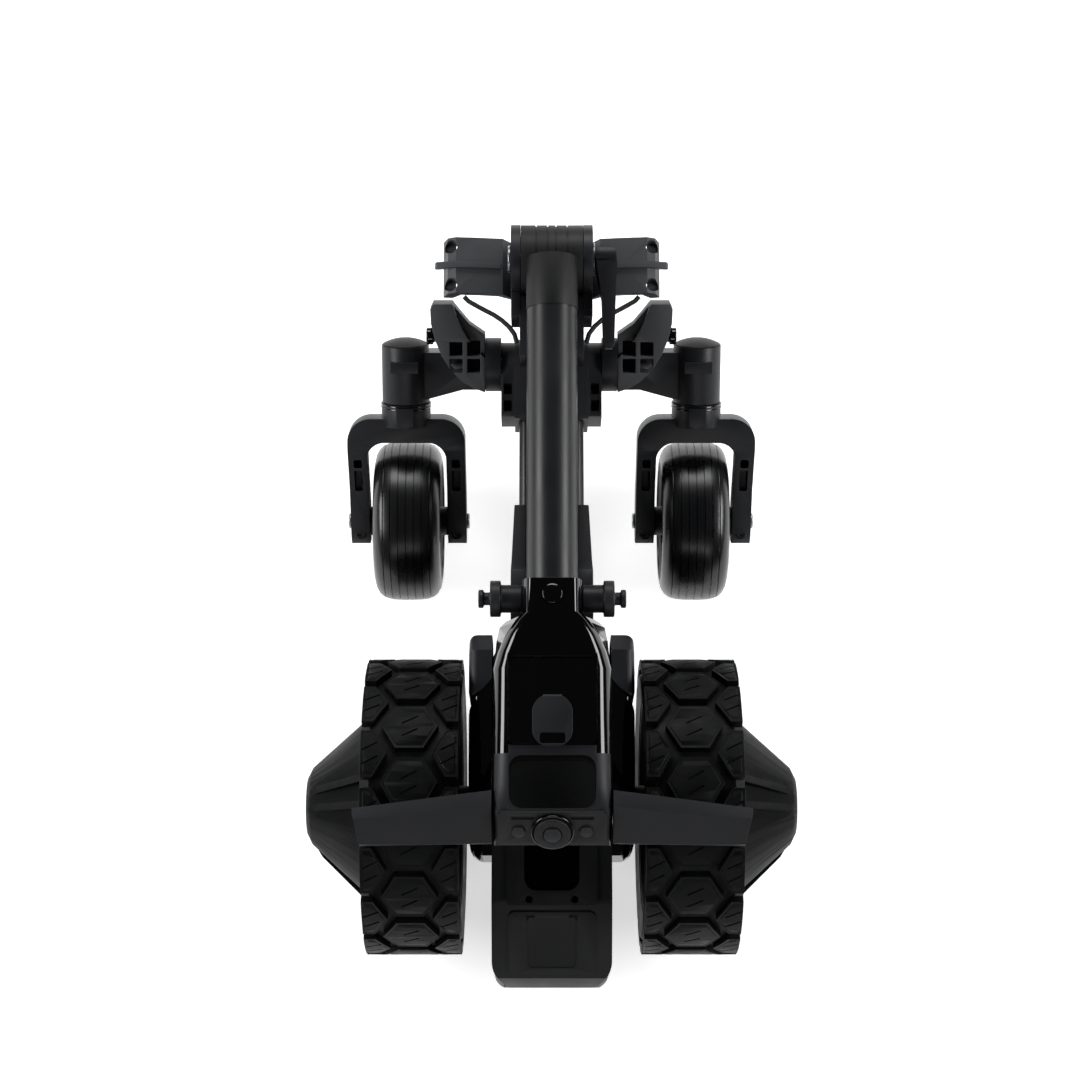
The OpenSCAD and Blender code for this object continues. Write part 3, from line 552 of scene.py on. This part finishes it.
LEG_POCKET_X = (46.0, 54.5)
LEG_POCKETS_Z = ((38.0, 62.0), (65.0, 84.0))
LEG_POCKET_Y = (-8, 14)
SEAL_RADIUS, SEAL_HEIGHT, SEALS_FROM = 25.7, 2.0, (128.4, 131.4)
BOLT_X, BOLT_Y, BOLT_Z = 50.2, 19.5, -11.0
BOLT_TILT = math.radians(78)
BOLT_RADIUS, SOCKET_RADIUS = 6.0, 2.6

for side_name in ("left", "right"):
    wheel = JOINT["castor_spin_" + side_name]["pos_m"]
    tyre = turned_piece("castor_tyre_%s_finished" % side_name, castor_profile(), wheel)
    finish_piece(tyre, "castor_tyre_" + side_name, castor_rubber, smooth_angle=40.0)

    fork_place = FRONT @ Matrix.Translation(
        Vector((math.copysign(CASTOR_SPACING, wheel[0]), 0, 0)))
    fork = base_copy("castor_fork_" + side_name)
    rounded(fork, 4.0)
    for leg in (-1, 1):
        low_x, high_x = sorted(leg * x for x in LEG_POCKET_X)
        for low_z, high_z in LEG_POCKETS_Z:
            carve(fork, box_at("leg_pocket", (low_x, LEG_POCKET_Y[0], low_z),
                               (high_x, LEG_POCKET_Y[1], high_z), 1.5, fork_place))
    finish_piece(fork, "castor_fork_" + side_name, satin_nylon)
    for number, low_z in enumerate(SEALS_FROM):
        seal = rod_at("castor_seal_%s_%d" % (side_name, number), SEAL_RADIUS,
                      low_z, low_z + SEAL_HEIGHT, vertices=72, place=fork_place)
        rounded(seal, 0.8, segments=2)
        riding(seal, "castor_" + side_name, gloss_abs)
    for leg in (-1, 1):
        bolt_place = (fork_place
                      @ Matrix.Translation(Vector((leg * BOLT_X, BOLT_Y, BOLT_Z)) * MM)
                      @ Matrix.Rotation(BOLT_TILT, 4, "X"))
        bolt = rod_at("leg_bolt_%s_%s" % (side_name, "inner" if leg < 0 else "outer"),
                      BOLT_RADIUS, -2.0, 3.2, place=bolt_place)
        carve(bolt, rod_at("socket", SOCKET_RADIUS, 1.0, 6.0, vertices=6,
                           place=bolt_place))
        rounded(bolt, 0.6, segments=2)
        riding(bolt, "castor_" + side_name, satin_nylon)

# ---------------------------------------------------------------- handle head
HEAD_SECTIONS = (  # along, half width, underside and top, in mm
    (-15.5, 54.0, 1.5, 7.5), (14.5, 55.5, -6.0, 37.0), (40.0, 55.5, -9.0, 41.0),
    (66.0, 55.2, -11.5, 44.5), (100.0, 55.0, -13.8, 46.4), (144.0, 55.0, -12.9, 47.9),
    (160.0, 54.0, -12.5, 49.3), (176.0, 52.4, -12.3, 50.8), (189.0, 49.6, -11.8, 51.8),
    (194.6, 43.5, -10.6, 52.0), (196.0, 27.9, -10.2, 52.1), (227.4, 27.4, 0.2, 52.8))
WIDEST = 5  # the section that the body is drawn out from, both ways
UPPER_CORNER, LOWER_CORNER = 19.0, 9.0
HOOD_FROM = 24  # the hood narrows above this height
HOOD = ((160.0, 0.94), (176.0, 0.84), (189.0, 0.72), (194.6, 0.70))  # along, narrowing
# Openings: low corner, high corner and the radius of the upright edges, in mm
HAND_WINDOW = ((-40, 16, -30), (40, 64, 70), 12.0)
LID_SEAT = ((-41.5, 73.5, 42.4), (41.5, 154.5, 70), 1.5)
COMPARTMENT = ((-37, 79, 4), (37, 149, 60), 8.0)
NECK_BUTTON_AT = (0, 212.5)
DIAL_AT = (0, -3)  # in the console's frame
PRESS_X, PRESS_Y = 31, -4
FRAME_END, FRAME_HALF = 72, 53  # the satin frame round the window


def draw_out(sections):
    """Extrudes the selected end face through the sections."""
    for before, after in zip(sections, sections[1:]):
        middle = (after[2] + after[3]) / 2
        rise = middle - (before[2] + before[3]) / 2
        bpy.ops.mesh.extrude_region_move(TRANSFORM_OT_translate={
            "value": Vector((0, after[0] - before[0], rise)) * MM})
        bpy.ops.transform.resize(
            value=(after[1] / before[1], 1.0,
                   (after[3] - after[2]) / (before[3] - before[2])),
            center_override=Vector((0, after[0], middle)) * MM)


def head_body():
    """The head drawn out through its sections, with its hood."""
    along, half, low, high = HEAD_SECTIONS[WIDEST]
    bpy.ops.object.select_all(action="DESELECT")
    bpy.ops.mesh.primitive_plane_add(size=1.0, rotation=(math.radians(90), 0, 0),
                                     location=Vector((0, along, (low + high) / 2)) * MM)
    body = bpy.context.object
    body.name = "head_shell_finished"
    body.scale = (2 * half * MM, (high - low) * MM, 1.0)
    only(body)
    bpy.ops.object.transform_apply(location=True, rotation=True, scale=True)
    # Wide rounded shoulders above, tighter corners below
    for upper, radius in ((True, UPPER_CORNER), (False, LOWER_CORNER)):
        bpy.ops.object.mode_set(mode="EDIT")
        bpy.ops.mesh.select_mode(type="VERT")
        bpy.ops.mesh.select_all(action="DESELECT")
        bpy.ops.object.mode_set(mode="OBJECT")
        for point in body.data.vertices:
            corner = abs(abs(point.co.x) - half * MM) < 0.01 * MM
            end = high if upper else low
            point.select = corner and abs(point.co.z - end * MM) < 0.01 * MM
        bpy.ops.object.mode_set(mode="EDIT")
        bpy.ops.mesh.bevel(offset=radius * MM, segments=7, affect="VERTICES")
    bpy.ops.mesh.select_all(action="SELECT")
    draw_out(HEAD_SECTIONS[WIDEST:])
    bpy.ops.object.mode_set(mode="OBJECT")
    pick_faces(body, lambda face: (abs(face.center.y - along * MM) < 0.1 * MM
                                   and abs(face.normal.y) > 0.99))
    draw_out(HEAD_SECTIONS[WIDEST::-1])
    # The upper half narrows towards the neck like a hood
    for station, narrowing in HOOD:
        bpy.ops.mesh.select_mode(type="VERT")
        bpy.ops.mesh.select_all(action="DESELECT")
        bpy.ops.object.mode_set(mode="OBJECT")
        for point in body.data.vertices:
            point.select = (abs(point.co.y - station * MM) < 0.1 * MM
                            and point.co.z > HOOD_FROM * MM)
        bpy.ops.object.mode_set(mode="EDIT")
        bpy.ops.transform.resize(value=(narrowing, 1.0, 1.0), center_override=(0, 0, 0))
    bpy.ops.object.mode_set(mode="OBJECT")
    recalculated(body)
    return body


head = head_body()
carve(head, upright_box("window_cutter", *HAND_WINDOW))
carve(head, upright_box("seat_cutter", *LID_SEAT))
carve(head, upright_box("compartment_cutter", *COMPARTMENT))
carve(head, rod_at("button_cutter", 9.8, 47.0, 70.0, centre=NECK_BUTTON_AT))
head_to_console = HEAD.inverted() @ CONSOLE
carve(head, rod_at("dial_cutter", 12.0, -6.0, 8.0, centre=DIAL_AT, place=head_to_console))
for sign in (-1, 1):
    carve(head, rod_at("press_cutter", 6.7, -6.0, 8.0, centre=(sign * PRESS_X, PRESS_Y),
                       place=head_to_console))
rounded(head, 1.6, segments=3, angle=40.0)
head.data.materials.clear()
head.data.materials.append(gloss_abs)
paint_faces(head, satin_nylon, lambda face: (
    face.center.y < FRAME_END * MM and face.normal.z > 0.35
    and abs(face.center.x) < FRAME_HALF * MM))
placed(head, HEAD)
finish_piece(head, "head_shell", None, smooth_angle=40.0)

# Gloss collar round the dial, fixed to the head
collar = rod_at("dial_collar", 20.0, 2.7, 6.4, centre=DIAL_AT, vertices=72)
carve(collar, rod_at("collar_bore", 17.4, 0.0, 9.0, centre=DIAL_AT, vertices=72))
rounded(collar, 1.1, segments=3)
placed(collar, CONSOLE)
riding(collar, "handle", gloss_abs)

# Bare raised tongue on the lid
lid_plate = upright_box("lid_plate", (-17, 124, 46), (17, 145, 47.9), 4.0)
rounded(lid_plate, 0.4, segments=2)
placed(lid_plate, HEAD)
riding(lid_plate, "lid", gloss_abs)

# ---------------------------------------------------------------- gear covers
SADDLE_RADIUS = 64.0
SADDLE_X, SADDLE_AHEAD = 111, 148  # its axis, to the side and ahead of the axle, in mm
CROWN_EDGE, FLANK_EDGE = 8.0, 14.0

for side_name, sign in (("left", -1), ("right", 1)):
    node = "gear_cover_" + side_name
    reach = max(abs(Vector(corner).x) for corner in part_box(node))
    crown, flank = base_copy(node), base_copy(node)
    for cover, operation, edge in ((crown, "INTERSECT", CROWN_EDGE),
                                   (flank, "DIFFERENCE", FLANK_EDGE)):
        carve(cover, rod_at("saddle", SADDLE_RADIUS, 50.0, 330.0, vertices=96,
                            centre=(sign * SADDLE_X, AXLE_Y / MM + SADDLE_AHEAD)),
              operation)
        round_edges(cover, lambda a, b: min(abs(a.x), abs(b.x)) > reach - 1 * MM, edge)
    finish_piece(crown, node, satin_nylon)
    flank.name = "gear_flank_" + side_name
    flank.data.materials.clear()
    riding(flank, BODY_OF[node], gloss_abs)

# ---------------------------------------------------------------- other pieces
EDGES_MM = {
    "chassis_shell": 9.0, "belly_cover": 1.0, "tail_panel": 0.8, "tail_cover": 1.0,
    "neck_housing": 4.0, "lower_frame_tube": 1.0, "front_yoke": 3.0,
    "front_beam": 4.0, "castor_caps": 2.2, "strap_knobs": 1.5, "cradle_bumpers": 2.5,
    "castor_axle_left": 0.8, "castor_axle_right": 0.8,
    "castor_hub_left": 1.0, "castor_hub_right": 1.0,
    "mast_head": 2.0, "hinge_bolt": 0.8, "cam_lever": 2.5,
    "handle_hinge": 0.5, "console_panel": 0.6,
    "grip_left": 2.5, "grip_right": 2.5,
    "accessory_post_left": 1.5, "accessory_post_right": 1.5,
    "compartment_lid": 2.6, "lid_latch": 1.6, "dial_ring": 1.4, "dial_button": 0.8,
    "panel_button_left": 0.6, "panel_button_right": 0.6, "neck_button": 0.8,
    "drive_hub_left": 2.2, "drive_hub_right": 2.2,
    "lower_cradle_left": 2.0, "lower_cradle_right": 2.0, "upper_cradle": 1.8,
}
OWN_FINISH = {
    "lower_cradle_left": pale_nylon, "lower_cradle_right": pale_nylon,
    "upper_cradle": pale_nylon,
    "console_panel": matte_abs, "tail_panel": matte_abs, "tail_cover": matte_abs,
    "handle_hinge": matte_abs, "castor_caps": matte_abs, "dial_ring": matte_abs,
    # The hubs take the nylon darkened as painted shade
    "drive_hub_left": shaded_nylon, "drive_hub_right": shaded_nylon,
    "lid_latch": satin_nylon, "mast_head": satin_nylon,
}
NOTCHES_FROM, NOTCH_WIDTH = (-24.5, 16.5), 8


def tail_top(face):
    """The textured faces round the tail cover and panel, and those facing the back."""
    upper = face.normal.z > 0.8 and abs(face.center.x) < 53 * MM
    return (upper or face.normal.y < -0.5) and face.center.y < AXLE_Y - 38 * MM


for node, edge in EDGES_MM.items():
    piece = softened(node, edge, OWN_FINISH.get(node))
    if node == "chassis_shell":
        paint_faces(piece, matte_abs, tail_top)
    if node == "tail_cover":
        # Two square thumb notches at the front edge of the cover
        edge_at, top_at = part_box(node)[1][1] / MM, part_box(node)[1][2] / MM
        for low_x in NOTCHES_FROM:
            carve(piece, box_at("notch", (low_x, edge_at - 9, top_at - 4),
                                (low_x + NOTCH_WIDTH, edge_at - 1, top_at + 6)))

# ---------------------------------------------------------------- stage
FLOOR_GLOW = 0.56  # seen by the camera and in reflections, not lighting the trolley
FAINT_FILL = 0.04
LAMP_AIM = Vector((0, 0, 0.15))

bpy.ops.object.select_all(action="DESELECT")
bpy.ops.mesh.primitive_plane_add(size=12.0, location=(0.0, 0.0, 0.0))
floor = bpy.context.object
floor.name = "studio_floor"
floor_paint, floor_tree, floor_shader, _ = new_material("white_seamless_paper")
floor_shader.inputs["Base Color"].default_value = linear("#f2f2f2")
floor_shader.inputs["Roughness"].default_value = 0.9
rays = add_node(floor_tree, "ShaderNodeLightPath")
seen = add_node(floor_tree, "ShaderNodeMath", {
    0: rays.outputs["Is Camera Ray"], 1: rays.outputs["Is Glossy Ray"]},
    operation="MAXIMUM")
glow = add_node(floor_tree, "ShaderNodeEmission", {"Color": (1, 1, 1, 1)})
floor_tree.links.new(
    add_node(floor_tree, "ShaderNodeMath", {0: seen.outputs[0], 1: FLOOR_GLOW},
             operation="MULTIPLY").outputs[0], glow.inputs["Strength"])
both = add_node(floor_tree, "ShaderNodeAddShader", {
    0: floor_shader.outputs[0], 1: glow.outputs[0]})
floor_tree.links.new(both.outputs[0],
                     floor_tree.nodes["Material Output"].inputs["Surface"])
floor.data.materials.append(floor_paint)

world = bpy.data.worlds.new("studio_world")
bpy.context.scene.world = world
world.use_nodes = True
world.node_tree.nodes["Background"].inputs["Color"].default_value = (1, 1, 1, 1)
# White where the camera looks past the floor, and only a faint fill elsewhere
past_floor = add_node(world.node_tree, "ShaderNodeLightPath")
world.node_tree.links.new(
    add_node(world.node_tree, "ShaderNodeMath",
             {0: past_floor.outputs["Is Camera Ray"], 1: FAINT_FILL},
             operation="MAXIMUM").outputs[0],
    world.node_tree.nodes["Background"].inputs["Strength"])

SOFTBOXES = {  # place and size in metres, power in watts
    "left_softbox": ((-2.1, 0.0, 1.5), (1.8, 0.8), 48.0),
    "right_softbox": ((2.1, 0.0, 1.5), (1.8, 0.8), 48.0),
    "back_softbox": ((0.0, 2.3, 1.8), (2.2, 0.8), 42.0),
    "near_softbox": ((0.0, -2.6, 1.7), (1.8, 0.6), 14.0),
}
for name, (place, size, power) in SOFTBOXES.items():
    lamp_data = bpy.data.lights.new(name, "AREA")
    lamp_data.shape = "RECTANGLE"
    lamp_data.size, lamp_data.size_y = size
    lamp_data.energy = power
    lamp = bpy.data.objects.new(name, lamp_data)
    lamp.location = place
    lamp.rotation_euler = (LAMP_AIM - Vector(place)).to_track_quat("-Z", "Y").to_euler()
    bpy.context.collection.objects.link(lamp)
